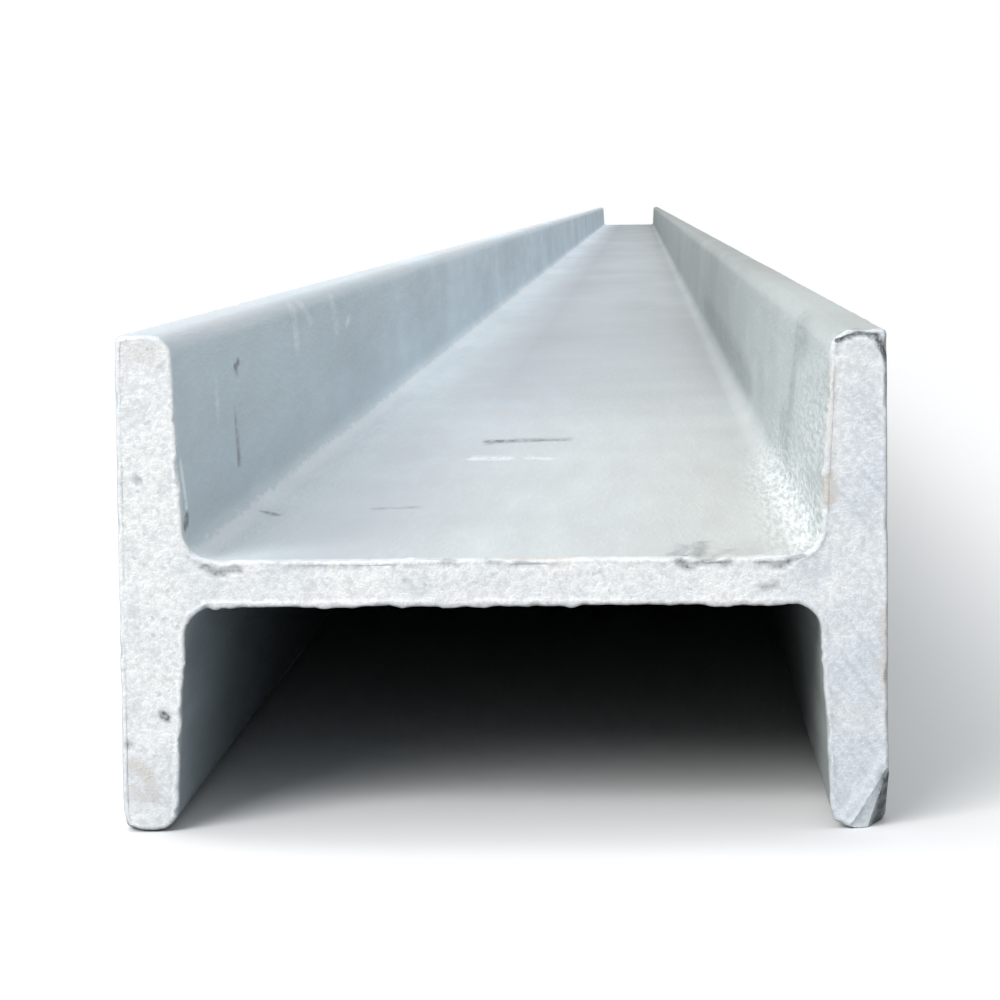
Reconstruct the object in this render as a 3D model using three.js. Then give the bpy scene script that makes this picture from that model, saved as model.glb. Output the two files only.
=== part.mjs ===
// Rolled steel i-beam, one straight stock length, lying on the toes of its flanges.
//
// Millimetres, +Z up. The beam runs along Y, its section depth lies along X and its
// flange width stands along Z. The web is level, halfway up the flanges, and the
// origin is on the floor under the middle of the beam.

import * as THREE from 'three';

// The section
const sectionDepth = 100;      // between the outer faces of the flanges
const flangeWidth = 65;        // from toe to toe
const webThickness = 6.4;
const flangeThickness = 8.2;   // halfway between the web and a toe
const flangeSlope = 0.05;      // taper of the inner face, in mm for each mm of width
const rootRadius = 3.5;        // fillet between web and flange
const toeRadius = 3;           // rounding of the inner corner of a toe
const arrisRadius = 1;         // rounding of the outer corner of a flange

// The stock length
const stockLength = 6000;

// Each arc of the section is drawn with this many straight steps
const stepsPerArc = 8;

// The finish: hot-dip zinc, weathered to a dull light grey
const zincColour = 0xcdd3d4;
const zincRoughness = 0.55;
const zincMetalness = 0.6;

// Distance from the middle of the depth to the tapered inner face of a flange,
// at a height above the middle of the web.
function innerFaceAt(height) {
  const middleOfOutstand = (webThickness / 2 + flangeWidth / 2) / 2;
  const thicknessHere = flangeThickness + flangeSlope * (middleOfOutstand - height);
  return sectionDepth / 2 - thicknessHere;
}

// One quarter of the outline, from the web up the inner face of a flange, over its
// toe and onto its outer face. Its three arcs touch the straight faces between them.
function quarterOutline() {
  const slopeAngle = Math.atan(flangeSlope);
  const slantedOffset = 1 / Math.cos(slopeAngle);
  const quarter = new THREE.Path();

  const rootHeight = webThickness / 2 + rootRadius;
  const rootCentre = innerFaceAt(rootHeight) - rootRadius * slantedOffset;
  quarter.absarc(rootCentre, rootHeight, rootRadius, -Math.PI / 2, -slopeAngle, false);

  const toeHeight = flangeWidth / 2 - toeRadius;
  const toeCentre = innerFaceAt(toeHeight) + toeRadius * slantedOffset;
  quarter.absarc(toeCentre, toeHeight, toeRadius, Math.PI - slopeAngle, Math.PI / 2, true);

  const arrisCentre = sectionDepth / 2 - arrisRadius;
  const arrisHeight = flangeWidth / 2 - arrisRadius;
  quarter.absarc(arrisCentre, arrisHeight, arrisRadius, Math.PI / 2, 0, true);

  // A path draws an arc with two steps for each division
  return quarter.getPoints(stepsPerArc / 2);
}

// The whole outline: the quarter and its three mirror images, taken in turn.
function sectionShape() {
  const quarter = quarterOutline();
  const mirrored = (across, up) =>
    quarter.map((point) => new THREE.Vector2(across * point.x, up * point.y));
  return new THREE.Shape([
    ...mirrored(1, 1),
    ...mirrored(1, -1).reverse(),
    ...mirrored(-1, -1),
    ...mirrored(-1, 1).reverse(),
  ]);
}

function galvanisedSteel() {
  return new THREE.MeshStandardMaterial({
    color: zincColour,
    roughness: zincRoughness,
    metalness: zincMetalness,
  });
}

// The section is drawn in the XY plane and extruded along Z. Turned by a quarter
// about X, its length runs along Y and its flanges stand up.
function iBeam() {
  const length = new THREE.ExtrudeGeometry(sectionShape(), {
    depth: stockLength,
    bevelEnabled: false,
  });
  const beam = new THREE.Mesh(length, galvanisedSteel());
  beam.name = 'i_beam';
  beam.rotation.x = Math.PI / 2;
  beam.position.set(0, stockLength / 2, flangeWidth / 2);
  return beam;
}

const part = new THREE.Group();
part.add(iBeam());

export default part;
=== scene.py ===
"""A hot-dip galvanised steel i-beam, one 6 m stock length, lying on a pale floor.

The beam runs along Y, its section depth lies along X and its flanges stand along Z.
All lengths are in metres. The near end, at the low end of Y, is the one in view.
"""

import math
import random

import bmesh
import bpy
from mathutils import Matrix, Vector, noise


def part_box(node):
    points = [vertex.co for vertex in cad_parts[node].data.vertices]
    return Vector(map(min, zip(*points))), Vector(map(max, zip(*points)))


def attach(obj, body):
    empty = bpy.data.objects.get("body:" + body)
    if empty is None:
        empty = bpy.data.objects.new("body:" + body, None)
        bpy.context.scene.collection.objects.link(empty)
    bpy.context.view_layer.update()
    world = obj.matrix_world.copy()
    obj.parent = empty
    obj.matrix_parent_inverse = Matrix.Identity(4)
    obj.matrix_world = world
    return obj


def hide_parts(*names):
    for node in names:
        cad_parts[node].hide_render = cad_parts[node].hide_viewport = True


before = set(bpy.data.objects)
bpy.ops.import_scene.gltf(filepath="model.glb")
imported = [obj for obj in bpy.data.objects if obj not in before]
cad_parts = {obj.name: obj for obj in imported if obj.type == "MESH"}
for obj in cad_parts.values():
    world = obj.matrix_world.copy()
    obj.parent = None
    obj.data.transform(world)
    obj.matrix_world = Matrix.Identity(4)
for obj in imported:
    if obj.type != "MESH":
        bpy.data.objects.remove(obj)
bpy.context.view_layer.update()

MM = 0.001

# ---------------------------------------------------------------- the section

# The rolled section, with the same sizes as the solid that it dresses
WEB_THICKNESS = 6.4 * MM
FLANGE_THICKNESS = 8.2 * MM
FLANGE_SLOPE = 0.05
ROOT_RADIUS = 3.5 * MM
TOE_RADIUS = 3.0 * MM
ARRIS_RADIUS = 1.0 * MM

low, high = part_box("i_beam")
NEAR_END = low.y
FAR_END = high.y
LENGTH = FAR_END - NEAR_END
HALF_DEPTH = (high.x - low.x) / 2
HALF_WIDTH = (high.z - low.z) / 2
WEB_LEVEL = (low.z + high.z) / 2


def inner_face_at(height):
    """Half the clear depth between the flanges, at a height above the web's middle."""
    middle_of_outstand = (WEB_THICKNESS / 2 + HALF_WIDTH) / 2
    return HALF_DEPTH - FLANGE_THICKNESS - FLANGE_SLOPE * (middle_of_outstand - height)


def from_foot(x, y, z):
    """A place in the frame, from millimetres to the middle of the near end's foot."""
    return Vector((x * MM, NEAR_END + y * MM, low.z + z * MM))


# ---------------------------------------------------------------- the camera

CAMERA_PLACE = from_foot(18.2, -489.7, 82.0)
CAMERA_TURN_LEFT = math.radians(2.14)
CAMERA_DIP = math.radians(4.53)
CAMERA_ROLL = math.radians(-0.64)
CAMERA_LENS = 136.9
CAMERA_NEAREST = 0.05
CAMERA_FURTHEST = 400.0


def make_camera():
    data = bpy.data.cameras.new("camera")
    data.lens = CAMERA_LENS
    data.clip_start = CAMERA_NEAREST
    data.clip_end = CAMERA_FURTHEST
    camera = bpy.data.objects.new("camera", data)
    bpy.context.scene.collection.objects.link(camera)
    turn = Matrix.Rotation(CAMERA_TURN_LEFT, 4, "Z")
    dip = Matrix.Rotation(math.pi / 2 - CAMERA_DIP, 4, "X")
    roll = Matrix.Rotation(CAMERA_ROLL, 4, "Z")
    camera.matrix_world = Matrix.Translation(CAMERA_PLACE) @ turn @ dip @ roll
    bpy.context.scene.camera = camera


# ---------------------------------------------------------------- the beam's skin

# Spacing of the mesh round the section
WEB_STEP = 1.6 * MM
INNER_FACE_STEP = 1.6 * MM
OUTER_FACE_STEP = 2.6 * MM
SHORTEST_DIVIDED = 3.0 * MM
# Each rounding of the section, and the steps round it
ROUNDINGS = ((ROOT_RADIUS, 8), (TOE_RADIUS, 8), (ARRIS_RADIUS, 4))

# The skin turns in over the sawn faces within this distance of them
EDGE_REACH = 1.2 * MM

# Rings along the length: close together at the ends, wider towards the middle
END_STEPS = (0.5, 0.6, 0.8, 1.0, 1.2)
FIRST_STEP = 1.5 * MM
STEP_GROWTH = 1.03
WIDEST_STEP = 60.0 * MM
FAR_FIRST_STEP = 4.0 * MM
FAR_STEP_GROWTH = 1.25

# The first rings of the near end are cut finer, to carry the ragged edge that the saw left
RAGGED_RINGS = 3
RAGGED_CUTS = 2

# So are patches round the small marks further along: how far along they start and how far
# such a mark reaches at most, in millimetres, and a patch's size as a multiple of the reach
FURTHER_MARKS = 2.4
SMALL_MARK_REACH = 3.0
PATCH_MARGIN = 1.6

# Vertices of one ring lie this close together along the beam
SAME_RING = 0.01 * MM

# Where the web's upper edge was crumpled: middle in millimetres from the near end's foot,
# and how far the creases reach
CRUMPLE_MIDDLE = from_foot(26.5, 6.0, 35.7)
CRUMPLE_REACH = Vector((7.0, 20.0, 4.0)) * MM


def section_corners():
    """The section's sharp corners and the radius that rounds each, in order round the outline."""
    toe = inner_face_at(HALF_WIDTH)
    root = inner_face_at(WEB_THICKNESS / 2)
    quarter = [
        (root, WEB_THICKNESS / 2, ROOT_RADIUS),
        (toe, HALF_WIDTH, TOE_RADIUS),
        (HALF_DEPTH, HALF_WIDTH, ARRIS_RADIUS),
    ]
    corners = []
    for across, up in ((1, 1), (1, -1), (-1, -1), (-1, 1)):
        turned = [(across * x, up * z, radius) for x, z, radius in quarter]
        if across != up:
            turned.reverse()
        corners.extend(turned)
    return corners


def round_corners(bm, corners, radius, steps):
    bmesh.ops.bevel(
        bm,
        geom=corners,
        offset=radius,
        offset_type="OFFSET",
        affect="VERTICES",
        segments=steps,
        profile=0.5,
        material=-1,
    )


def divide_straights(bm):
    """Cuts the straight stretches of the outline into short steps."""
    for edge in bm.edges[:]:
        start, end = (vert.co for vert in edge.verts)
        span = (end - start).length
        if span < SHORTEST_DIVIDED:
            continue
        if abs(end.x - start.x) > abs(end.z - start.z):
            step = WEB_STEP
        elif abs(start.x) > HALF_DEPTH - ARRIS_RADIUS:
            step = OUTER_FACE_STEP
        else:
            step = INNER_FACE_STEP
        bmesh.ops.subdivide_edges(bm, edges=[edge], cuts=max(1, round(span / step) - 1))


def section_outline(bm):
    """Draws the rounded section just behind the near end, as a closed ring of edges."""
    corners = section_corners()
    start = NEAR_END + EDGE_REACH
    verts = [bm.verts.new((x, start, WEB_LEVEL + z)) for x, z, _ in corners]
    bm.faces.new(verts)
    for radius, steps in ROUNDINGS:
        chosen = [vert for vert, corner in zip(verts, corners) if corner[2] == radius]
        round_corners(bm, chosen, radius, steps)
    divide_straights(bm)
    bmesh.ops.delete(bm, geom=bm.faces[:], context="FACES_ONLY")


def ring_places():
    """Where the rings of the skin stand along the beam, from the near end to the far end."""
    ends = [step * MM for step in END_STEPS]
    far = []
    step = FAR_FIRST_STEP
    while step < WIDEST_STEP:
        far.append(step)
        step *= FAR_STEP_GROWTH
    far_end = ends + far
    near = list(ends)
    step = FIRST_STEP
    room = LENGTH - 2 * EDGE_REACH - sum(far_end)
    while sum(near) + step < room:
        near.append(step)
        step = min(step * STEP_GROWTH, WIDEST_STEP)
    near.append(room - sum(near))
    places = [NEAR_END + EDGE_REACH]
    for spacing in near + far_end[::-1]:
        places.append(places[-1] + spacing)
    return places


def drawn_on(bm, ring):
    """Draws a ring of edges out once more. Gives the new ring and its vertices."""
    drawn = bmesh.ops.extrude_edge_only(bm, edges=ring)["geom"]
    edges = [item for item in drawn if isinstance(item, bmesh.types.BMEdge)]
    return edges, {vert for edge in edges for vert in edge.verts}


def sweep_length(bm):
    """Draws the outline out along the beam, and cuts the length into rings."""
    places = ring_places()
    steps = len(places) - 1
    _, verts = drawn_on(bm, bm.edges[:])
    bmesh.ops.translate(bm, verts=list(verts), vec=(0.0, places[-1] - places[0], 0.0))
    lengthwise = [edge for edge in bm.edges if edge.verts[0].co.y != edge.verts[1].co.y]
    bmesh.ops.subdivide_edges(bm, edges=lengthwise, cuts=steps - 1, use_grid_fill=True)
    for vert in bm.verts:
        share = (vert.co.y - places[0]) / (places[-1] - places[0])
        vert.co.y = places[round(share * steps)]


def fine_patches():
    """Where the skin is cut finer: round the crumpled edge and the small marks further along."""
    patches = [(CRUMPLE_MIDDLE, CRUMPLE_REACH * PATCH_MARGIN)]
    for _, start, end, reach, _ in MARKS:
        if start[1] > FURTHER_MARKS and reach[0] < SMALL_MARK_REACH:
            start = from_foot(*start)
            half = (from_foot(*end) - start) / 2
            room = Vector(reach) * MM + Vector([abs(length) for length in half])
            patches.append((start + half, room * PATCH_MARGIN))
    return patches


def refine_near_end(bm):
    """Cuts the near end's first rings finer round the section, and the patches both ways."""
    reach = NEAR_END + EDGE_REACH + sum(END_STEPS[:RAGGED_RINGS]) * MM + SAME_RING
    around = []
    for edge in bm.edges:
        start, end = (vert.co for vert in edge.verts)
        if start.y < reach and abs(start.y - end.y) < SAME_RING:
            around.append(edge)
    bmesh.ops.subdivide_edges(bm, edges=around, cuts=RAGGED_CUTS, use_grid_fill=True)
    inside = set()
    for middle, room in fine_patches():
        for vert in bm.verts:
            if abs(vert.co.y - middle.y) < room.y and vert.co.y > reach:
                if scaled(vert.co - middle, room).length < 1.0:
                    inside.add(vert)
    whole = {face for face in bm.faces if inside.issuperset(face.verts)}
    patched = [edge for edge in bm.edges if not whole.isdisjoint(edge.link_faces)]
    bmesh.ops.subdivide_edges(bm, edges=patched, cuts=RAGGED_CUTS, use_grid_fill=True)


# ---------------------------------------------------------------- relief of the skin

# The skin lies a little inside the solid, so that its relief stays within it
SKIN_SINK = 0.12 * MM
# Slow waves from the rolls, and the lumpy skin of zinc over them
ROLL_WAVE = 0.10 * MM
ROLL_WAVE_LENGTH = Vector((45.0, 240.0, 45.0)) * MM
ZINC_LUMP = 0.06 * MM
ZINC_LUMP_SIZE = 9.0 * MM
# Creases of the crumpled edge: their height, size, and the noise at their feet
CREASE_HEIGHT = 0.90 * MM
CREASE_SIZE = Vector((2.6, 7.8, 2.6)) * MM
CREASE_FOOT = 0.25
# Runs of zinc that froze on the inner faces as the beam left the bath. A run shows where
# its noise is above a least value, on faces that look across the beam.
RUN_HEIGHT = 0.40 * MM
RUN_LEAST = 0.15
RUN_SPACING = 9.0 * MM
RUN_LENGTH = 14.0 * MM
LOOKS_ACROSS = 0.9


def scaled(point, size):
    return Vector((point.x / size.x, point.y / size.y, point.z / size.z))


def zinc_run(point, outward):
    """Height of the runs on the inner faces of the flanges."""
    if abs(outward.x) < LOOKS_ACROSS or abs(point.x) > HALF_DEPTH - ARRIS_RADIUS:
        return 0.0
    # Each flange has its own slice of the noise
    side = math.copysign(1.0, point.x)
    along = noise.noise(Vector((point.y / RUN_SPACING, 7.0 * side, 0.0)))
    reach = noise.noise(Vector((point.y / (3 * RUN_SPACING), 3.0 * side, 5.0)))
    from_toe = HALF_WIDTH - abs(point.z - WEB_LEVEL)
    fade = max(0.0, 1.0 - from_toe / (RUN_LENGTH * (0.7 + 0.6 * reach)))
    return RUN_HEIGHT * max(0.0, along - RUN_LEAST) * math.sqrt(fade)


def crumple(point):
    """Height of the creases round the crumpled edge, sharp at their feet."""
    share = scaled(point - CRUMPLE_MIDDLE, CRUMPLE_REACH).length
    if share > 1.0:
        return 0.0
    crease = abs(noise.noise(scaled(point, CREASE_SIZE)))
    return CREASE_HEIGHT * (crease - CREASE_FOOT) * (1.0 - share * share)


def lumpy(place):
    """Noise of three sizes, each half the size of the one before."""
    return noise.fractal(place, 1.0, 2.0, 3)


def relief(point, outward):
    wave = ROLL_WAVE * noise.noise(scaled(point, ROLL_WAVE_LENGTH))
    lump = ZINC_LUMP * lumpy(point / ZINC_LUMP_SIZE)
    return wave + lump + crumple(point) + zinc_run(point, outward) - SKIN_SINK


# Dents along the toes and edges of the near end: middle in millimetres from its foot,
# radius and depth
EDGE_DENTS = (
    ((-36.2, 0.0, 36.4), 2.0, 0.5),
    ((26.5, 0.0, 37.2), 2.8, 0.9),
    ((35.0, 0.4, 36.8), 1.6, 0.5),
    ((39.0, 0.0, 37.4), 1.4, 0.5),
    ((46.6, 1.6, 66.6), 2.9, 1.0),
    ((43.4, 0.8, 65.4), 1.8, 0.6),
    ((49.8, 0.0, 62.6), 1.6, 0.5),
    ((-49.8, 0.0, 64.6), 1.6, 0.4),
    ((-50.2, 0.0, -0.2), 3.4, 0.9),
    ((-15.0, 0.0, 28.8), 2.2, 0.4),
    ((-41.0, 0.0, 12.0), 2.0, 0.4),
    ((41.4, 0.0, 56.0), 1.6, 0.4),
    ((50.4, 0.0, 20.0), 1.8, 0.5),
)
# Dents from handling: how many, the stretch of the beam that has them, as shares of its
# length, and their least and greatest radius and depth
HANDLING_DENTS = 30
HANDLING_SEED = 7
HANDLED_STRETCH = (0.02, 0.99)
HANDLING_RADIUS = (3.0, 9.0)
HANDLING_DEPTH = (0.3, 0.9)


def handling_dents():
    """Small dents at chance places along the four toes."""
    chance = random.Random(HANDLING_SEED)
    dents = []
    for _ in range(HANDLING_DENTS):
        side = chance.choice((-1, 1))
        edge = chance.choice((inner_face_at(HALF_WIDTH), HALF_DEPTH))
        level = chance.choice((low.z, high.z))
        along = NEAR_END + LENGTH * chance.uniform(*HANDLED_STRETCH)
        radius = chance.uniform(*HANDLING_RADIUS) * MM
        depth = chance.uniform(*HANDLING_DEPTH) * MM
        dents.append((Vector((side * edge, along, level)), radius, depth))
    return dents


def press_dents(bm):
    _, outward = rolled_layers(bm)
    dents = [(from_foot(*middle), radius * MM, depth * MM) for middle, radius, depth in EDGE_DENTS]
    for middle, radius, depth in dents + handling_dents():
        for vert in bm.verts:
            if abs(vert.co.y - middle.y) > radius:
                continue
            distance = (vert.co - middle).length / radius
            if distance < 1.0:
                vert.co -= vert[outward] * depth * (1.0 - distance * distance) ** 2


# ---------------------------------------------------------------- the sawn ends

# How the skin turns in over a sawn face, ring by ring: the distance behind the end and the
# depth below the rolled face, in millimetres, then the shares of the bead and the nicks
NEAR_EDGE = (
    (0.90, 0.00, 0.30, 0.10),
    (0.65, 0.00, 0.75, 0.30),
    (0.44, 0.02, 1.00, 0.60),
    (0.26, 0.08, 0.90, 0.90),
    (0.13, 0.18, 0.60, 1.00),
    (0.05, 0.34, 0.25, 0.90),
    (0.03, 0.52, 0.08, 0.50),
    (0.05, 0.70, 0.00, 0.20),
    (0.08, 0.88, 0.00, 0.00),
)
FAR_EDGE = (
    (0.60, 0.00, 0.40, 0.20),
    (0.25, 0.08, 0.80, 0.60),
    (0.04, 0.34, 0.25, 0.60),
    (0.08, 0.88, 0.00, 0.00),
)
DEEPEST_TURN = 0.92 * MM
WELD_DISTANCE = 0.001 * MM

# What wavers along the edge: the size of its waves, its slice of the noise, and its mean
# and swing. The bead of zinc swells and ebbs, and is beaded. Drips hang under the faces
# that look down, and nicks go into the edge.
BEAD_SWELL = (4.5 * MM, 2.0, 0.42, 1.4)
BEAD_BEADS = (0.9 * MM, 0.0, 0.7, 0.8)
DRIPS = (2.4 * MM, 5.0, 0.0, 1.0)
NICKS = (1.7 * MM, 9.0, -0.12, 1.0)
BEAD_HEIGHT = 0.26 * MM
DRIP_HEIGHT = 0.55 * MM
NICK_DEPTH = 0.60 * MM
LOOKS_DOWN = -0.5
# The bead thins out this near to the solid's outermost faces
BEAD_ROOM = 0.5 * MM

# The sawn faces are cut into a grid, to carry their own relief. Its first line stands this
# share of a step in, and a line runs through a vertex that lies this near to it.
GRID_SHIFT = 0.37
GRID_SNAP = 0.2 * MM
NEAR_FACE_STEP = 0.5 * MM
FAR_FACE_STEP = 2.5 * MM
FACE_WAVE = 0.06 * MM
FACE_WAVE_SIZE = 11.0 * MM
FACE_LUMP = 0.07 * MM
FACE_LUMP_SIZE = 2.1 * MM
FACE_SHALLOWEST = 0.01 * MM


def wavering(place, size, noise_slice, mean, swing):
    """A value that wavers from place to place along a sawn edge."""
    return mean + swing * noise.noise(Vector((place.x, noise_slice, place.z)) / size)


def bead(place, outward):
    """Height of the bead of zinc along the edge, with its drips."""
    room = min(HALF_DEPTH - abs(place.x), HALF_WIDTH - abs(place.z - WEB_LEVEL))
    height = BEAD_HEIGHT * max(0.0, wavering(place, *BEAD_SWELL)) * wavering(place, *BEAD_BEADS)
    if outward.z < LOOKS_DOWN:
        height += DRIP_HEIGHT * max(0.0, wavering(place, *DRIPS))
    return height * min(1.0, max(0.0, room / BEAD_ROOM))


def nick(place):
    """Depth of the nicks in the edge."""
    return NICK_DEPTH * max(0.0, wavering(place, *NICKS))


# What the mesh keeps of the rolled face while its relief is made: each vertex's place before
# the relief, and the way out of the steel there
ROLLED_LAYERS = ("home", "outward")


def rolled_layers(bm):
    layers = bm.verts.layers.float_vector
    for name in ROLLED_LAYERS:
        if layers.get(name) is None:
            layers.new(name)
    return [layers[name] for name in ROLLED_LAYERS]


def turn_edge_in(bm, ring, at, inwards, profile):
    """Turns the skin in over a sawn face. Gives the last ring."""
    home, outward = rolled_layers(bm)
    for behind, drop, bead_share, nick_share in profile:
        ring, verts = drawn_on(bm, ring)
        for vert in verts:
            place = vert[home].copy()
            place.y = at + inwards * behind * MM
            normal = vert[outward]
            depth = drop * MM + nick_share * nick(place) - bead_share * bead(place, normal)
            depth = min(depth - relief(place, normal), DEEPEST_TURN)
            vert.co = place - normal * depth
    return ring


def face_relief(place):
    """How far the sawn face stands back from its plane at a place."""
    wave = FACE_WAVE * noise.noise(place / FACE_WAVE_SIZE)
    lump = FACE_LUMP * lumpy(place / FACE_LUMP_SIZE)
    return wave + lump


def cut_apart(bm, faces, start, span, step):
    """Cuts faces along planes across a span, a step apart."""
    towards = span.normalized()
    for count in range(int(span.length / step)):
        shared = dict.fromkeys(item for face in faces for item in (*face.verts, *face.edges))
        cut = bmesh.ops.bisect_plane(
            bm,
            geom=faces + list(shared),
            dist=GRID_SNAP,
            plane_co=start + towards * (count + GRID_SHIFT) * step,
            plane_no=towards,
        )
        faces = [item for item in cut["geom"] if isinstance(item, bmesh.types.BMFace)]
    return faces


def fill_face(bm, ring, at, inwards, step):
    """Fills a sawn face and cuts it into a grid that follows the face's relief."""
    filled = bmesh.ops.edgeloop_fill(bm, edges=ring)["faces"]
    corner = Vector((-HALF_DEPTH, at, low.z))
    filled = cut_apart(bm, filled, corner, Vector((2.0 * HALF_DEPTH, 0.0, 0.0)), step)
    filled = cut_apart(bm, filled, corner, Vector((0.0, 0.0, 2.0 * HALF_WIDTH)), step)
    verts = {vert for face in filled for vert in face.verts}
    for vert in verts:
        back = max(FACE_SHALLOWEST, abs(vert.co.y - at) + face_relief(vert.co))
        vert.co.y = at + inwards * back
    many_sided = [face for face in filled if len(face.verts) > 4]
    bmesh.ops.triangulate(bm, faces=many_sided)


def close_end(bm, at, inwards, profile, step):
    """Makes a sawn end on a copy of the skin's last ring, and welds it on."""
    end = bmesh.new()
    home, outward = rolled_layers(bm)
    end_home, end_outward = rolled_layers(end)
    copies = {}
    ring = []
    for edge in bm.edges:
        if not edge.is_boundary or abs(edge.verts[0].co.y - at) > 2 * EDGE_REACH:
            continue
        for vert in edge.verts:
            if vert not in copies:
                copies[vert] = end.verts.new(vert.co)
                copies[vert][end_home] = vert[home]
                copies[vert][end_outward] = vert[outward]
        ring.append(end.edges.new([copies[vert] for vert in edge.verts]))
    ring = turn_edge_in(end, ring, at, inwards, profile)
    fill_face(end, ring, at, inwards, step)
    mesh = bpy.data.meshes.new("sawn_end")
    end.to_mesh(mesh)
    end.free()
    bm.from_mesh(mesh)
    bpy.data.meshes.remove(mesh)
    seam = [vert for vert in bm.verts if vert.is_boundary]
    bmesh.ops.remove_doubles(bm, verts=seam, dist=WELD_DISTANCE)


# The knocked-off corner at the foot of the right flange. Each cut reaches this far in, up
# and back from the corner: a facet across the sawn face, and a longer one along the arris.
FACET_CUT = Vector((5.6, 8.8, 2.3)) * MM
ARRIS_CUT = Vector((3.2, 7.8, 9.0)) * MM
# The broken faces are cut this fine, and roughened
BREAK_STEP = 1.0 * MM
BREAK_DEPTH = 0.2 * MM
BREAK_SIZE = 1.6 * MM


def broken_only(vert, broken):
    """Whether a vertex has only broken faces round it."""
    return all(face in broken for face in vert.link_faces)


def knock_off_corner(bm, reach):
    corner = Vector((HALF_DEPTH, NEAR_END, low.z))
    inwards = corner - Vector((reach.x, 0.0, 0.0))
    up = corner + Vector((0.0, 0.0, reach.y))
    back = corner + Vector((0.0, reach.z, 0.0))
    outwards = (inwards - up).cross(back - up).normalized()
    if outwards.dot(corner - up) < 0:
        outwards = -outwards
    cut = bmesh.ops.bisect_plane(
        bm,
        geom=bm.verts[:] + bm.edges[:] + bm.faces[:],
        dist=WELD_DISTANCE,
        plane_co=up,
        plane_no=outwards,
        clear_outer=True,
    )
    rim = [item for item in cut["geom_cut"] if isinstance(item, bmesh.types.BMEdge)]
    broken = bmesh.ops.edgeloop_fill(bm, edges=rim)["faces"]
    for edge in rim:
        edge.smooth = False
    for span in (inwards - corner, up - corner, back - corner):
        broken = cut_apart(bm, broken, corner, span, BREAK_STEP)
    inner = {vert for face in broken for vert in face.verts if broken_only(vert, broken)}
    for vert in inner:
        vert.co -= outwards * BREAK_DEPTH * (0.5 + noise.noise(vert.co / BREAK_SIZE))


# ---------------------------------------------------------------- the marks

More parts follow.
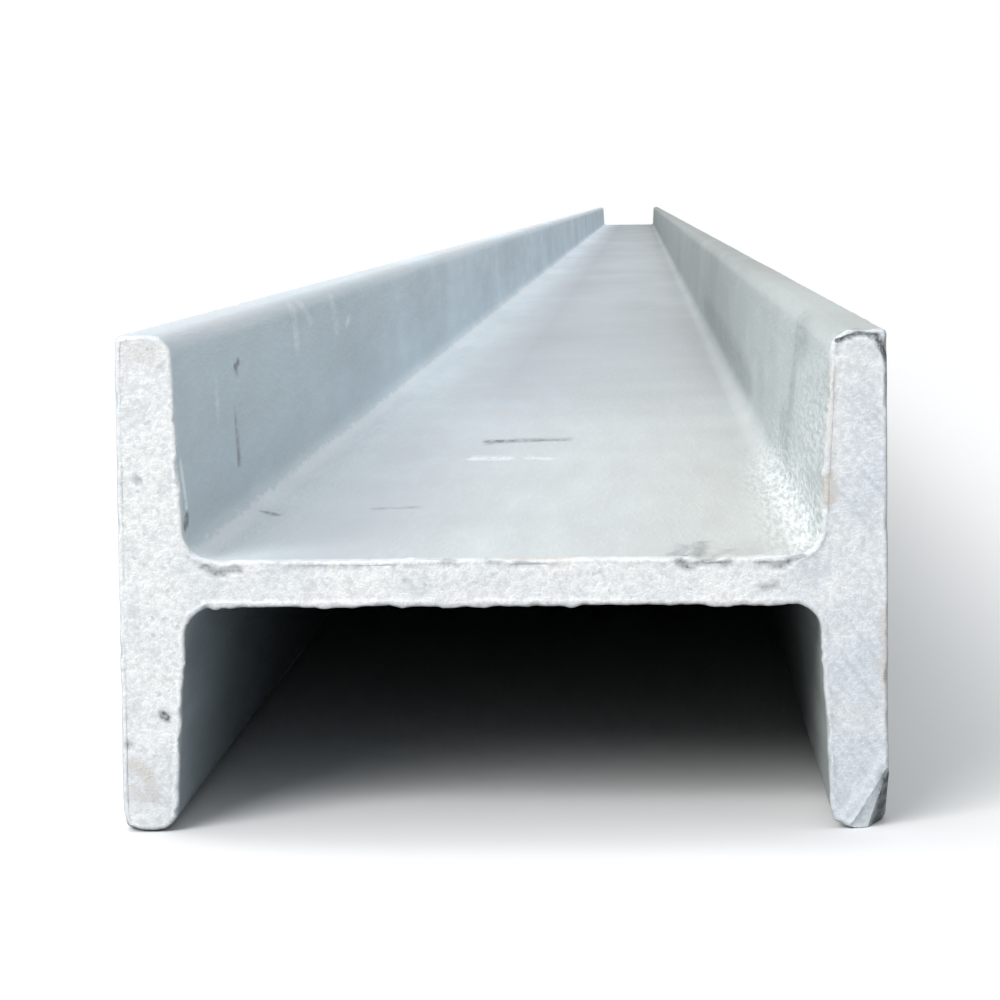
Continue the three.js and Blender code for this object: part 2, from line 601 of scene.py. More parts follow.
# Marks painted on the mesh: the kind, start and end in millimetres from the middle of the
# near end's foot, reach to each side, and strength
# The pale kind also carries painted light and highlights, and the dark kind painted shade
DARK = 0
PALE = 1
STAIN = 2
DROSS = 3
MARKS = (
    # painted shade in the creases of the rolled-over rim of the sawn face
    (DARK, (-38.6, 0.0, 34.4), (-36.8, 0.0, 33.8), (0.7, 2.0, 0.6), 0.60),
    (DARK, (-36.8, 0.0, 33.8), (-34.0, 0.0, 34.4), (0.7, 2.0, 0.6), 0.60),
    (DARK, (23.2, 0.0, 34.9), (24.4, 0.0, 34.2), (0.8, 2.0, 0.7), 0.75),
    (DARK, (24.4, 0.0, 34.4), (29.6, 0.0, 35.0), (0.7, 2.0, 0.5), 0.55),
    (DARK, (33.4, 0.0, 34.5), (36.6, 0.0, 34.4), (0.7, 2.0, 0.5), 0.60),
    (DARK, (37.0, 0.0, 34.8), (38.6, 0.0, 35.6), (0.6, 2.0, 0.6), 0.60),
    (DARK, (33.6, 0.0, 31.4), (35.6, 0.0, 31.9), (0.7, 2.0, 0.6), 0.45),
    (DARK, (43.6, 0.0, 63.4), (46.0, 0.0, 64.3), (0.5, 2.0, 0.42), 0.90),
    (DARK, (46.0, 0.0, 64.3), (48.6, 0.0, 63.8), (0.5, 2.0, 0.38), 0.85),
    (DARK, (48.6, 0.0, 63.8), (49.8, 0.0, 61.4), (0.55, 2.0, 0.7), 1.00),
    (DARK, (49.8, 0.0, 61.4), (49.9, 0.0, 57.0), (0.4, 2.0, 1.2), 0.60),
    # painted shade in pits
    (DARK, (-44.0, 0.0, 15.4), (-44.0, 0.0, 15.2), (0.8, 2.0, 0.9), 0.80),
    (DARK, (-49.0, 0.0, 11.7), (-49.0, 0.0, 11.5), (0.7, 2.0, 0.7), 0.50),
    (DARK, (-47.3, 0.0, 46.1), (-47.0, 0.0, 46.0), (0.7, 2.0, 0.6), 0.50),
    (DARK, (-7.4, 0.0, 35.1), (-6.4, 0.0, 35.0), (0.9, 2.0, 0.5), 0.35),
    (DARK, (-1.8, 0.0, 35.2), (-0.4, 0.0, 35.0), (1.0, 2.0, 0.5), 0.40),
    (DARK, (2.2, 0.0, 34.8), (4.4, 0.0, 34.5), (0.9, 2.0, 0.5), 0.35),
    # stains
    (STAIN, (-48.0, 0.0, 8.8), (-46.4, 0.0, 7.4), (1.4, 2.0, 1.2), 0.36),
    (STAIN, (-46.2, 0.0, 6.8), (-45.6, 0.0, 4.8), (1.1, 2.0, 1.5), 0.30),
    (STAIN, (-48.2, 0.0, 5.4), (-47.4, 0.0, 4.6), (1.2, 2.0, 1.0), 0.26),
    (STAIN, (-47.5, 0.0, 62.8), (-45.0, 0.0, 62.4), (2.4, 2.0, 1.8), 0.14),
    (STAIN, (42.3, 0.0, 45.4), (42.4, 0.0, 43.2), (1.4, 2.0, 1.9), 0.45),
    (STAIN, (42.6, 0.0, 60.0), (42.4, 0.0, 48.0), (0.9, 2.0, 1.0), 0.20),
    (STAIN, (49.6, 0.0, 28.0), (49.5, 0.0, 19.0), (1.0, 2.0, 1.2), 0.35),
    (STAIN, (0.5, 0.8, 35.7), (8.5, 0.6, 35.7), (1.0, 0.8, 1.0), 0.50),
    # the broken corner: its facet paler as painted light, painted highlights along its ridges,
    # and painted shadow on the break behind it
    (PALE, (46.4, 1.0, 1.0), (48.8, 1.2, 5.4), (2.2, 2.4, 2.4), 0.85),
    (PALE, (47.2, 1.4, 0.4), (49.6, 0.4, 7.4), (0.6, 1.6, 0.7), 1.00),
    (DARK, (49.0, 5.2, 0.0), (50.0, 1.4, 6.0), (1.8, 3.8, 2.0), 0.90),
    (PALE, (43.6, 0.0, 1.6), (48.8, 0.0, 9.0), (0.9, 1.0, 0.9), 0.60),
    # painted shade in the creases of the crumpled web
    (DARK, (22.4, 2.6, 35.7), (24.2, 16.0, 35.7), (1.5, 3.4, 1.4), 0.34),
    (DARK, (25.4, 3.0, 35.7), (26.2, 20.0, 35.7), (1.3, 4.0, 1.4), 0.38),
    (DARK, (28.0, 2.6, 35.7), (29.8, 9.0, 35.7), (1.4, 3.0, 1.4), 0.30),
    # the left root, and pale runs from the left toe
    (DARK, (-41.6, 3.6, 40.0), (-41.5, 5.4, 40.8), (1.6, 3.0, 1.0), 0.95),
    (PALE, (-41.8, 2.8, 48.0), (-41.6, 5.6, 42.4), (1.2, 1.8, 1.2), 1.00),
    (PALE, (-42.4, 176.0, 63.0), (-42.4, 178.0, 57.0), (2.0, 8.0, 2.4), 0.50),
    (PALE, (-42.4, 196.0, 63.5), (-42.4, 206.0, 60.0), (2.0, 8.0, 1.6), 0.45),
    (PALE, (-42.4, 262.0, 62.0), (-42.4, 264.0, 57.0), (2.0, 12.0, 2.4), 0.35),
    (PALE, (-42.2, 49.4, 56.0), (-42.2, 49.8, 52.0), (2.0, 2.4, 1.6), 0.40),
    # a speck, a scratch and a white dot on the left flange
    (DARK, (-42.3, 77.0, 57.3), (-42.3, 80.0, 57.9), (2.0, 3.4, 0.8), 0.80),
    (DARK, (-42.0, 71.8, 49.6), (-42.0, 72.2, 43.6), (2.0, 1.8, 1.4), 0.55),
    (PALE, (-42.3, 296.0, 57.0), (-42.3, 298.0, 57.0), (2.0, 7.0, 1.3), 1.00),
    # a scrape on the web with dashes before it, and faint specks
    (DARK, (-10.4, 238.0, 35.7), (-6.0, 239.0, 35.7), (2.2, 7.0, 2.0), 0.75),
    (DARK, (-6.0, 239.0, 35.7), (3.0, 241.0, 35.7), (2.2, 5.0, 2.0), 0.60),
    (PALE, (-12.0, 190.0, 35.7), (-5.2, 190.0, 35.7), (1.4, 6.4, 2.0), 0.52),
    (PALE, (-1.8, 190.0, 35.7), (1.4, 189.0, 35.7), (1.4, 6.4, 2.0), 0.42),
    (DARK, (-21.6, 82.0, 35.7), (-15.8, 83.0, 35.7), (1.4, 2.2, 1.0), 0.36),
    (DARK, (-38.0, 76.0, 35.9), (-36.0, 71.0, 35.7), (1.0, 2.6, 1.0), 0.70),
    # darker bands on the right flange, one along its root
    (DARK, (41.6, 380.0, 42.0), (41.7, 820.0, 43.5), (4.0, 100.0, 5.0), 0.34),
    (DARK, (42.6, 96.0, 61.0), (41.8, 120.0, 44.0), (4.0, 44.0, 6.0), 0.26),
    # dross along the foot of the right flange, over its face and onto the web
    (DROSS, (42.0, 0.0, 36.0), (42.0, 90.0, 35.0), (9.0, 150.0, 16.0), 1.00),
    (DROSS, (43.0, 0.0, 54.0), (43.0, 40.0, 48.0), (5.0, 80.0, 13.0), 0.75),
)
# How far chance shakes the marks, and the size of the shakes
MARK_SHAKE = 0.5 * MM
SHAKE_SIZE = 2.0 * MM
SHAKE_SEED = 1
# How deep a dark mark is pressed into the sawn face, and how far back that face reaches
PIT_DEPTH = 0.35 * MM
PITTED_ZONE = 0.5 * MM


def mark_fade(kind, distance):
    """How much of a mark shows at a share of its reach. All but dross is full up to half."""
    if kind == DROSS:
        return 1.0 - distance
    return min(1.0, 2.0 - 2.0 * distance)


def paint_marks(bm):
    """Writes how strongly each kind of mark shows at each vertex, and presses the pits in."""
    layer = bm.verts.layers.float_color.new("marks")
    for vert in bm.verts:
        vert[layer] = (0.0, 0.0, 0.0, 0.0)
    reached = [max(start[1], end[1]) + reach[1] for _, start, end, reach, _ in MARKS]
    furthest = NEAR_END + max(reached) * MM + MARK_SHAKE
    noise.seed_set(SHAKE_SEED)
    near = []
    for vert in bm.verts:
        if vert.co.y < furthest:
            near.append((vert, vert.co + MARK_SHAKE * noise.noise_vector(vert.co / SHAKE_SIZE)))
    for kind, start, end, reach, strength in MARKS:
        start = from_foot(*start)
        along = from_foot(*end) - start
        reach = Vector(reach) * MM
        first = min(start.y, start.y + along.y) - reach.y
        last = max(start.y, start.y + along.y) + reach.y
        for vert, place in near:
            if not first < place.y < last:
                continue
            apart = place - start
            share = min(1.0, max(0.0, apart.dot(along) / along.length_squared))
            distance = scaled(apart - along * share, reach).length
            if distance < 1.0:
                shown = vert[layer]
                shown[kind] = max(shown[kind], strength * mark_fade(kind, distance))
                vert[layer] = shown
    for vert, place in near:
        if vert.co.y < NEAR_END + PITTED_ZONE:
            vert.co.y += PIT_DEPTH * vert[layer][DARK]


def keep_in_box(bm):
    """Moves what stands out of the solid's box back to its faces."""
    for vert in bm.verts:
        for axis in range(3):
            vert.co[axis] = min(max(vert.co[axis], low[axis]), high[axis])


# Edges that turn by more than this are sharp
SHARP_ANGLE = math.radians(50)
# A face is a sawn one where it looks along the beam by at least this much
LOOKS_ALONG = 0.8
# The two finishes, in the order that the beam takes them
SKIN_SLOT = 0
END_SLOT = 1


def point_outwards(bm):
    """Turns the open skin's faces outwards."""
    bmesh.ops.recalc_face_normals(bm, faces=bm.faces[:])
    bm.normal_update()
    leftmost = min(bm.faces, key=lambda face: face.calc_center_median().x)
    if leftmost.normal.x > 0:
        bmesh.ops.reverse_faces(bm, faces=bm.faces[:])
        bm.normal_update()


def finish_faces(bm):
    """Smooth shading with sharp edges, and the sawn faces in their own finish."""
    bmesh.ops.recalc_face_normals(bm, faces=bm.faces[:])
    bm.normal_update()
    for face in bm.faces:
        face.smooth = True
        face.material_index = END_SLOT if abs(face.normal.y) > LOOKS_ALONG else SKIN_SLOT
    for edge in bm.edges:
        if len(edge.link_faces) == 2 and edge.calc_face_angle() > SHARP_ANGLE:
            edge.smooth = False


def make_beam():
    bm = bmesh.new()
    section_outline(bm)
    sweep_length(bm)
    refine_near_end(bm)
    point_outwards(bm)
    home, outward = rolled_layers(bm)
    for vert in bm.verts:
        vert[home] = vert.co
        vert[outward] = Vector((vert.normal.x, 0.0, vert.normal.z)).normalized()
        vert.co += vert[outward] * relief(vert[home], vert[outward])
    close_end(bm, NEAR_END, 1.0, NEAR_EDGE, NEAR_FACE_STEP)
    close_end(bm, FAR_END, -1.0, FAR_EDGE, FAR_FACE_STEP)
    press_dents(bm)
    knock_off_corner(bm, ARRIS_CUT)
    knock_off_corner(bm, FACET_CUT)
    keep_in_box(bm)
    paint_marks(bm)
    layers = bm.verts.layers.float_vector
    for name in ROLLED_LAYERS:
        layers.remove(layers[name])
    finish_faces(bm)
    mesh = bpy.data.meshes.new("galvanised_beam")
    bm.to_mesh(mesh)
    bm.free()
    beam = bpy.data.objects.new("galvanised_beam", mesh)
    bpy.context.scene.collection.objects.link(beam)
    return beam


# ---------------------------------------------------------------- node helpers


class Nodes:
    """Adds nodes to a tree and links them, in the order that they are read."""

    def __init__(self, tree):
        self.tree = tree

    def add(self, kind, inputs=None, **settings):
        node = self.tree.nodes.new(kind)
        for name, value in settings.items():
            setattr(node, name, value)
        for key, value in (inputs or {}).items():
            self.feed(node.inputs[key], value)
        return node

    def feed(self, socket, value):
        if isinstance(value, bpy.types.NodeSocket):
            self.tree.links.new(value, socket)
        else:
            socket.default_value = value

    def math(self, operation, first, second=0.0, clamp=False):
        node = self.add("ShaderNodeMath", {0: first, 1: second}, operation=operation)
        node.use_clamp = clamp
        return node.outputs[0]

    def add_up(self, terms):
        """The sum of values, each times its share."""
        total = None
        for value, share in terms:
            part = self.math("MULTIPLY", value, share)
            total = part if total is None else self.math("ADD", total, part)
        return total

    def vector(self, operation, first, second=(0.0, 0.0, 0.0)):
        return self.add("ShaderNodeVectorMath", {0: first, 1: second}, operation=operation).outputs

    def mix(self, factor, first, second):
        node = self.add("ShaderNodeMix", data_type="RGBA")
        self.feed(node.inputs["Factor"], factor)
        self.feed(node.inputs["A"], first)
        self.feed(node.inputs["B"], second)
        return node.outputs["Result"]

    def map_range(self, value, low_in, high_in, low_out=0.0, high_out=1.0, smooth=False):
        node = self.add(
            "ShaderNodeMapRange",
            {0: value, 1: low_in, 2: high_in, 3: low_out, 4: high_out},
        )
        node.interpolation_type = "SMOOTHSTEP" if smooth else "LINEAR"
        return node.outputs[0]

    def noise(self, vector, scale=1.0, detail=2.0, roughness=0.5):
        inputs = {"Vector": vector, "Scale": scale, "Detail": detail, "Roughness": roughness}
        return self.add("ShaderNodeTexNoise", inputs).outputs["Fac"]

    def stretched(self, vector, size):
        """The vector over a size along each axis, so that a pattern is stretched by it."""
        scale = [1.0 / (length * MM) for length in size]
        return self.add("ShaderNodeMapping", {"Vector": vector, "Scale": scale}).outputs[0]

    def group(self, tree, inputs):
        node = self.tree.nodes.new("ShaderNodeGroup")
        node.node_tree = tree
        for key, value in inputs.items():
            self.feed(node.inputs[key], value)
        return node.outputs


def new_group(name, inputs, outputs):
    """A shader node group with named sockets. Gives its nodes, its inputs and its output node."""
    tree = bpy.data.node_groups.new(name, "ShaderNodeTree")
    for socket_name, socket_type, default in inputs:
        socket = tree.interface.new_socket(socket_name, in_out="INPUT", socket_type=socket_type)
        if default is not None:
            socket.default_value = default
    for socket_name, socket_type in outputs:
        tree.interface.new_socket(socket_name, in_out="OUTPUT", socket_type=socket_type)
    nodes = Nodes(tree)
    taken = nodes.add("NodeGroupInput").outputs
    given = nodes.add("NodeGroupOutput")
    return nodes, taken, given


FLOAT = "NodeSocketFloat"
VECTOR = "NodeSocketVector"
COLOUR = "NodeSocketColor"


def grain_group():
    """Fine grain of frozen zinc: a tone for the colour, and a height with raised lumps."""
    nodes, taken, given = new_group(
        "zinc grain",
        [("Vector", VECTOR, None)],
        [("Tone", FLOAT), ("Height", FLOAT)],
    )
    grain = nodes.noise(taken["Vector"], roughness=0.7)
    lumps = nodes.map_range(grain, 0.50, 0.66, smooth=True)
    nodes.feed(given.inputs["Tone"], grain)
    nodes.feed(given.inputs["Height"], nodes.add_up([(grain, 0.7), (lumps, 0.3)]))
    return nodes.tree


def marks_group():
    """The painted marks over a colour: stains, then pale ones and painted light, then dark ones and
    painted shade.
    """
    nodes, taken, given = new_group(
        "marks",
        [("Color", COLOUR, None), ("Marks", COLOUR, None), ("Noise", FLOAT, 0.5)],
        [("Color", COLOUR)],
    )
    kinds = nodes.add("ShaderNodeSeparateColor", {"Color": taken["Marks"]}).outputs
    frayed = nodes.map_range(taken["Noise"], 0.32, 0.62, 0.4, 1.4)
    colour = taken["Color"]
    for kind, tint in ((STAIN, STAIN_BROWN), (PALE, DRIP_AND_HIGHLIGHT_PALE), (DARK, MARK_DARK)):
        mask = nodes.math("MULTIPLY", kinds[kind], frayed, clamp=True)
        colour = nodes.mix(mask, colour, tint)
    nodes.feed(given.inputs["Color"], colour)
    return nodes.tree


# ---------------------------------------------------------------- the finishes

# Web colours: the left one lighter and bluer, and the one by the left root paler still, as painted light
# against the left flange's shadow
WEB_LEFT_PAINTED_LIGHT = (0.574, 0.632, 0.678, 1.0)
WEB_RIGHT = (0.506, 0.527, 0.511, 1.0)
WEB_ROOT_PAINTED_LIGHT = (0.760, 0.826, 0.876, 1.0)
# The left flange's bluer colour is a painted tint of sky-lit shade
FLANGE_LEFT_PAINTED_SKY = (0.550, 0.640, 0.702, 1.0)
FLANGE_RIGHT = (0.500, 0.545, 0.532, 1.0)
DROSS_DULL = (0.360, 0.410, 0.410, 1.0)
# Tops of the upper toes: the left one worn pale with a painted highlight, the right one painted shade
TOE_LEFT_WEAR_AND_HIGHLIGHT = (0.580, 0.630, 0.660, 1.0)
TOE_RIGHT_PAINTED_SHADE = (0.288, 0.321, 0.313, 1.0)
ZINC_WHITE = (0.860, 0.880, 0.885, 1.0)
# Tints of the pale marks and painted light, and of the dark marks and painted shade
DRIP_AND_HIGHLIGHT_PALE = (0.800, 0.875, 0.920, 1.0)
MARK_DARK = (0.150, 0.165, 0.180, 1.0)
STAIN_BROWN = (0.540, 0.450, 0.360, 1.0)
END_WHITE = (0.890, 0.905, 0.905, 1.0)
END_BLUE = (0.690, 0.740, 0.800, 1.0)
END_GREY = (0.480, 0.505, 0.520, 1.0)
ZINC_METALLIC = 0.20
END_METALLIC = 0.10
END_ROUGHNESS = 0.62

# Sizes of the patterns in the zinc, along each axis, in millimetres
CLOUD_SIZE = (45.0, 260.0, 45.0)
MOTTLE_SIZE = (6.0, 60.0, 6.0)
GRAIN_SIZE = (1.2, 8.0, 1.2)
STREAK_SIZE = (30.0, 45.0, 45.0)
DROSS_SIZE = (0.7, 8.0, 0.7)
END_GRAIN_SIZE = (0.7, 0.7, 0.7)
# Sizes of the even patterns on the sawn faces
END_CLOUD_SIZE = 9.0 * MM
END_PIT_SIZE = 1.1 * MM

# Where one colour goes over into the next, from one place to another. Across the beam:
# the flanges' colour, the greener side and the paler band by the left root, which is
# painted light against the shadow of the left flange.
FLANGE_FROM, FLANGE_TO = 41.1 * MM, 41.8 * MM
FLANGE_RAGGED = 2.4 * MM
GREENER_FROM, GREENER_TO = -30.0 * MM, 30.0 * MM
ROOT_LIGHT_FROM, ROOT_LIGHT_TO = -22.0 * MM, -38.0 * MM
# Along the beam: what lies further off, and the whiter edge by the near sawn face
FURTHER_FROM, FURTHER_TO = NEAR_END + 30.0 * MM, NEAR_END + 700.0 * MM
WHITER_FROM, WHITER_TO = NEAR_END + 3.4 * MM, NEAR_END + 1.6 * MM
WHITER_RAGGED = 3.0 * MM
# Up the flanges: the tops of the upper toes, worn, with a painted highlight and painted shade
TOE_TOP_FROM, TOE_TOP_TO = high.z - 2.4 * MM, high.z - 0.5 * MM
# On the sawn face: the bluer right flange, most of all towards its foot
BLUER_FROM, BLUER_TO = 30.0 * MM, 46.0 * MM
FOOT_FROM = low.z + 36.0 * MM
# The strength and the depth of the bumps
ZINC_BUMP = (0.30, 0.30 * MM)
END_BUMP = (0.28, 0.30 * MM)


def new_material(name):
    material = bpy.data.materials.new(name)
    material.use_nodes = True
    nodes = Nodes(material.node_tree)
    shader = material.node_tree.nodes["Principled BSDF"]
    place = nodes.add("ShaderNodeTexCoord").outputs["Object"]
    return material, nodes, shader, place


def bump(nodes, shader, height, strength, distance):
    node = nodes.add("ShaderNodeBump", {"Strength": strength, "Distance": distance, "Height": height})
    nodes.feed(shader.inputs["Normal"], node.outputs["Normal"])


def painted(nodes, groups, colour, marks, ragged):
    """The colour with the marks that are painted on the mesh."""
    inputs = {"Color": colour, "Marks": marks["Color"], "Noise": ragged}
    return nodes.group(groups["marks"], inputs)["Color"]


def galvanised_finish(groups):
    """The rolled faces: dull blue-grey zinc, clouded and smeared, with scrapes and drips."""
    material, nodes, shader, place = new_material("galvanised_skin")
    shader.inputs["Metallic"].default_value = ZINC_METALLIC
    at = nodes.add("ShaderNodeSeparateXYZ", {"Vector": place}).outputs

    # Clouds, mottle and grain, drawn out along the beam as it was rolled
    clouds = nodes.noise(nodes.stretched(place, CLOUD_SIZE), detail=1.0, roughness=0.55)
    mottle = nodes.noise(nodes.stretched(place, MOTTLE_SIZE), roughness=0.6)
    grain = nodes.group(groups["grain"], {"Vector": nodes.stretched(place, GRAIN_SIZE)})

    # The colour of each face: greener to the right, and bluer to the left and further along.
    # On the web the left is lighter and the left root paler still: painted light against the
    # shadow of the left flange.
    # The flanges' colour ends in a ragged line along the root.
    out_to = nodes.add_up([(nodes.math("ABSOLUTE", at["X"]), 1.0), (grain["Tone"], FLANGE_RAGGED)])
    on_flange = nodes.map_range(out_to, FLANGE_FROM, FLANGE_TO, smooth=True)
    further = nodes.map_range(at["Y"], FURTHER_FROM, FURTHER_TO, smooth=True)
    greener = nodes.map_range(at["X"], GREENER_FROM, GREENER_TO)
    greener = nodes.math("SUBTRACT", greener, nodes.math("MULTIPLY", further, 0.6), clamp=True)
    web = nodes.mix(greener, WEB_LEFT_PAINTED_LIGHT, WEB_RIGHT)
    # Painted light: the web is paler by the left root, where the left flange shades it
    root_painted_light = nodes.map_range(at["X"], ROOT_LIGHT_FROM, ROOT_LIGHT_TO, 0.0, 0.75, smooth=True)
    web = nodes.mix(root_painted_light, web, WEB_ROOT_PAINTED_LIGHT)
    # Painted shade: the left flange takes a bluer colour, as sky-lit shade
    flange = nodes.mix(nodes.math("GREATER_THAN", at["X"], 0.0), FLANGE_LEFT_PAINTED_SKY, FLANGE_RIGHT)
    colour = nodes.mix(on_flange, web, flange)

    # The shade of the pattern, with shorter streaks over it
    tone = nodes.add_up([(clouds, 0.45), (mottle, 0.38), (grain["Tone"], 0.17)])
    shade = nodes.map_range(tone, 0.38, 0.62, 0.90, 1.10)
    streaks = nodes.noise(nodes.stretched(place, STREAK_SIZE), detail=1.0)
    shade = nodes.math("MULTIPLY", shade, nodes.map_range(streaks, 0.35, 0.70, 0.98, 1.025))

    # Further along, darker to the right and lighter to the left: painted shade and painted light
    far_light_and_shade = nodes.map_range(at["X"], -0.8 * HALF_DEPTH, -0.3 * HALF_DEPTH, 0.28, -0.31)
    far_shade_right = nodes.map_range(at["X"], 0.6 * HALF_DEPTH, 0.84 * HALF_DEPTH, 0.0, -0.10)
    far_light_and_shade = nodes.math("MULTIPLY", further, nodes.math("ADD", far_light_and_shade, far_shade_right))
    shade = nodes.math("MULTIPLY", shade, nodes.math("ADD", far_light_and_shade, 1.0))
    shaded = nodes.add("ShaderNodeVectorMath", {"Vector": colour, "Scale": shade}, operation="SCALE")
    colour = shaded.outputs[0]

    # The upper toes along their tops: the left one worn pale with a painted highlight, and the
    # right one grey with painted shade
    toe_wear_and_light = nodes.map_range(at["Z"], TOE_TOP_FROM, TOE_TOP_TO)
    toe_wear_and_light = nodes.math("MULTIPLY", toe_wear_and_light, nodes.map_range(clouds, 0.40, 0.56, 0.3, 0.85))
    toe_light_and_wear_tint = nodes.mix(nodes.math("GREATER_THAN", at["X"], 0.0), TOE_LEFT_WEAR_AND_HIGHLIGHT, TOE_RIGHT_PAINTED_SHADE)
    colour = nodes.mix(toe_wear_and_light, colour, toe_light_and_wear_tint)

    # Blotches of white and dull dross along the foot of the right flange
    marks = nodes.add("ShaderNodeAttribute", attribute_name="marks").outputs
    dross = nodes.noise(nodes.stretched(place, DROSS_SIZE), roughness=0.7)
    dross_white = nodes.math("MULTIPLY", nodes.map_range(dross, 0.40, 0.62), marks["Alpha"])
    dross_dull = nodes.math("MULTIPLY", nodes.map_range(dross, 0.52, 0.34, 0.0, 0.5), marks["Alpha"])
    colour = nodes.mix(dross_dull, colour, DROSS_DULL)
    colour = nodes.mix(dross_white, colour, ZINC_WHITE)

    # A whiter edge by the near sawn face
    ragged_edge = nodes.add_up([(at["Y"], 1.0), (mottle, WHITER_RAGGED)])
    edge = nodes.map_range(ragged_edge, WHITER_FROM, WHITER_TO)
    edge = nodes.math("MULTIPLY", edge, nodes.map_range(mottle, 0.40, 0.60, 0.15, 0.75))
    colour = nodes.mix(edge, colour, ZINC_WHITE)

    colour = painted(nodes, groups, colour, marks, grain["Tone"])
    nodes.feed(shader.inputs["Base Color"], colour)
    rough = nodes.map_range(mottle, 0.3, 0.7, 0.48, 0.66)
    nodes.feed(shader.inputs["Roughness"], rough)
    bump(nodes, shader, grain["Height"], *ZINC_BUMP)
    return material


# The saw turned about a point far down to the left of the section, and cut arcs round it
SAW_MIDDLE = from_foot(-190.0, 0.0, -150.0)
SAW_PITCH = 0.8 * MM


def sawn_end_finish(groups):
    """The sawn ends: near-white zinc over saw marks, with grey grain, pits and a few stains."""
    material, nodes, shader, place = new_material("sawn_end")
    shader.inputs["Metallic"].default_value = END_METALLIC
    shader.inputs["Roughness"].default_value = END_ROUGHNESS
    at = nodes.add("ShaderNodeSeparateXYZ", {"Vector": place}).outputs

    # Patches of bluer zinc, most of all to the right
    grain = nodes.group(groups["grain"], {"Vector": nodes.stretched(place, END_GRAIN_SIZE)})
    clouds = nodes.noise(place, 1.0 / END_CLOUD_SIZE, roughness=0.6)
    right = nodes.map_range(at["X"], BLUER_FROM, BLUER_TO, 0.0, 0.22)
    foot = nodes.map_range(at["Z"], FOOT_FROM, low.z, 1.0, 2.0)
    bluer = nodes.add_up([(clouds, 0.8), (nodes.math("MULTIPLY", right, foot), 1.0)])
    colour = nodes.mix(nodes.map_range(bluer, 0.36, 0.70, 0.0, 0.9), END_WHITE, END_BLUE)

    # Arcs of the saw, where the zinc is thin
    from_saw = nodes.vector("SUBTRACT", place, SAW_MIDDLE)[0]
    round_saw = nodes.vector("LENGTH", nodes.vector("MULTIPLY", from_saw, (1.0, 0.0, 1.0))[0])["Value"]
    arcs = nodes.add(
        "ShaderNodeTexNoise",
        {"W": nodes.math("DIVIDE", round_saw, SAW_PITCH), "Scale": 1.0, "Detail": 1.0},
        noise_dimensions="1D",
    ).outputs["Fac"]
    thin_zinc = nodes.map_range(bluer, 0.46, 0.66)
    sawn = nodes.math("MULTIPLY", nodes.map_range(arcs, 0.55, 0.35), thin_zinc)
    colour = nodes.mix(nodes.math("MULTIPLY", sawn, 0.28), colour, END_GREY)

    # Grey grain and pits
    grey = nodes.map_range(grain["Tone"], 0.56, 0.36, 0.0, 0.42)
    colour = nodes.mix(grey, colour, END_GREY)
    pits = nodes.noise(place, 1.0 / END_PIT_SIZE, detail=1.0)
    colour = nodes.mix(nodes.map_range(pits, 0.68, 0.73, 0.0, 0.45), colour, END_GREY)

    marks = nodes.add("ShaderNodeAttribute", attribute_name="marks").outputs
    colour = painted(nodes, groups, colour, marks, grain["Tone"])
    nodes.feed(shader.inputs["Base Color"], colour)
    height = nodes.add_up([(grain["Height"], 1.0), (arcs, 0.3)])
    bump(nodes, shader, height, *END_BUMP)
    return material


# ---------------------------------------------------------------- the stage and the light

FLOOR_HALF = 150.0
FLOOR_COLOUR = (0.94, 0.94, 0.94, 1.0)
# The light that the floor throws back onto the beam
FLOOR_BOUNCE = (0.38, 0.38, 0.38, 1.0)
WHITE = (1.0, 1.0, 1.0, 1.0)
# The floor fades into the white backdrop between two distances from the beam. The greater
# one is less further along, going over from one place to the other.
FADE_FROM = 0.02
FADE_TO_NEAR = 0.36
FADE_TO_FURTHER = 0.10
NEAR_FLOOR = NEAR_END + 0.2
FURTHER_FLOOR = NEAR_END + 1.6
# The sky's light grows from the horizon up to SKY_RISE, a height on a dome of radius 1
SKY_COLOUR = (0.94, 0.97, 1.0, 1.0)
SKY_STRENGTH_LOW = 0.10
SKY_STRENGTH_HIGH = 0.70
SKY_RISE = 0.7


def make_floor():
    bm = bmesh.new()
    bmesh.ops.create_grid(bm, x_segments=1, y_segments=1, size=FLOOR_HALF)
    bmesh.ops.translate(bm, verts=bm.verts, vec=(0.0, 0.0, low.z))
    mesh = bpy.data.meshes.new("floor")
    bm.to_mesh(mesh)
    bm.free()
    floor = bpy.data.objects.new("floor", mesh)
    bpy.context.scene.collection.objects.link(floor)
    material, nodes, shader, place = new_material("pale_floor")
    material.node_tree.nodes.remove(shader)
    seen = nodes.add("ShaderNodeLightPath").outputs["Is Camera Ray"]
    matt = nodes.add(
        "ShaderNodeBsdfDiffuse",
        {"Color": nodes.mix(seen, FLOOR_BOUNCE, FLOOR_COLOUR)},
    ).outputs[0]
    beyond = nodes.vector("SUBTRACT", nodes.vector("ABSOLUTE", place)[0], (HALF_DEPTH, LENGTH / 2, 0.0))[0]
    beyond = nodes.vector("MAXIMUM", beyond, (0.0, 0.0, 0.0))[0]
    away = nodes.vector("LENGTH", beyond)["Value"]
    along = nodes.add("ShaderNodeSeparateXYZ", {"Vector": place}).outputs["Y"]
    fade_to = nodes.map_range(along, NEAR_FLOOR, FURTHER_FLOOR, FADE_TO_NEAR, FADE_TO_FURTHER)
    fade = nodes.map_range(away, FADE_FROM, fade_to, smooth=True)
    white = nodes.add("ShaderNodeEmission", {"Color": WHITE, "Strength": 1.0}).outputs[0]
    shown = nodes.add(
        "ShaderNodeMixShader",
        {0: nodes.math("MULTIPLY", fade, seen), 1: matt, 2: white},
    ).outputs[0]
    nodes.feed(material.node_tree.nodes["Material Output"].inputs["Surface"], shown)
    mesh.materials.append(material)


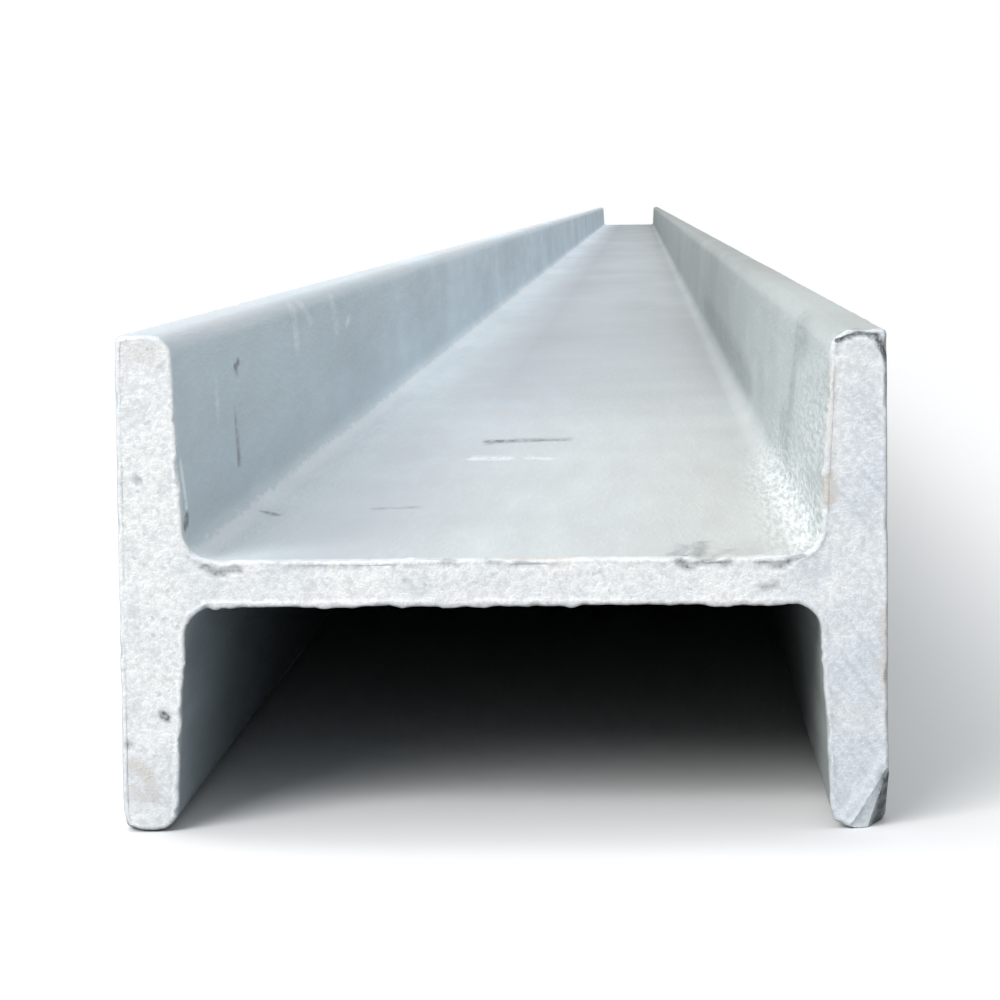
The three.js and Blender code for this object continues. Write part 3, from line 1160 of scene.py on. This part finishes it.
def make_world():
    """Soft light, stronger from above, and white where the camera or a reflection sees it."""
    world = bpy.data.worlds.new("studio")
    bpy.context.scene.world = world
    world.use_nodes = True
    tree = world.node_tree
    tree.nodes.clear()
    nodes = Nodes(tree)
    towards = nodes.add("ShaderNodeTexCoord").outputs["Generated"]
    rise = nodes.add("ShaderNodeSeparateXYZ", {"Vector": towards}).outputs["Z"]
    strength = nodes.map_range(rise, 0.0, SKY_RISE, SKY_STRENGTH_LOW, SKY_STRENGTH_HIGH)
    light = nodes.add("ShaderNodeBackground", {"Color": SKY_COLOUR, "Strength": strength})
    white = nodes.add("ShaderNodeBackground", {"Color": WHITE, "Strength": 1.0})
    rays = nodes.add("ShaderNodeLightPath").outputs
    seen = nodes.math("MAXIMUM", rays["Is Camera Ray"], rays["Is Transmission Ray"])
    seen = nodes.math("MAXIMUM", seen, rays["Is Glossy Ray"])
    shown = nodes.add("ShaderNodeMixShader", {0: seen, 1: light.outputs[0], 2: white.outputs[0]})
    nodes.add("ShaderNodeOutputWorld", {"Surface": shown.outputs[0]})


def make_lamp(name, place, target, size, power):
    data = bpy.data.lights.new(name, "AREA")
    data.shape = "RECTANGLE"
    data.size, data.size_y = size
    data.energy = power
    lamp = bpy.data.objects.new(name, data)
    bpy.context.scene.collection.objects.link(lamp)
    lamp.location = place
    lamp.rotation_euler = (target - place).to_track_quat("-Z", "Y").to_euler()
    lamp.visible_camera = False


# A long soft lamp above and to the left of the beam, and a smaller one before its near end
KEY_PLACE = Vector((-2.5, -0.5, 3.4))
KEY_SIZE = (3.0, 9.5)
KEY_POWER = 146.0
FRONT_PLACE = Vector((-1.9, NEAR_END - 3.3, 2.4))
FRONT_SIZE = (2.5, 2.5)
FRONT_POWER = 168.0


def make_lights():
    make_lamp("key", KEY_PLACE, Vector((0.0, KEY_PLACE.y, 0.0)), KEY_SIZE, KEY_POWER)
    make_lamp("front", FRONT_PLACE, Vector((0.0, NEAR_END, 0.0)), FRONT_SIZE, FRONT_POWER)


# ---------------------------------------------------------------- the scene

bpy.context.scene.view_settings.view_transform = "Standard"
make_camera()
make_floor()
make_world()
make_lights()

groups = {
    "grain": grain_group(),
    "marks": marks_group(),
}
beam = make_beam()
beam.data.materials.append(galvanised_finish(groups))
beam.data.materials.append(sawn_end_finish(groups))
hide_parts("i_beam")
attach(beam, "root")
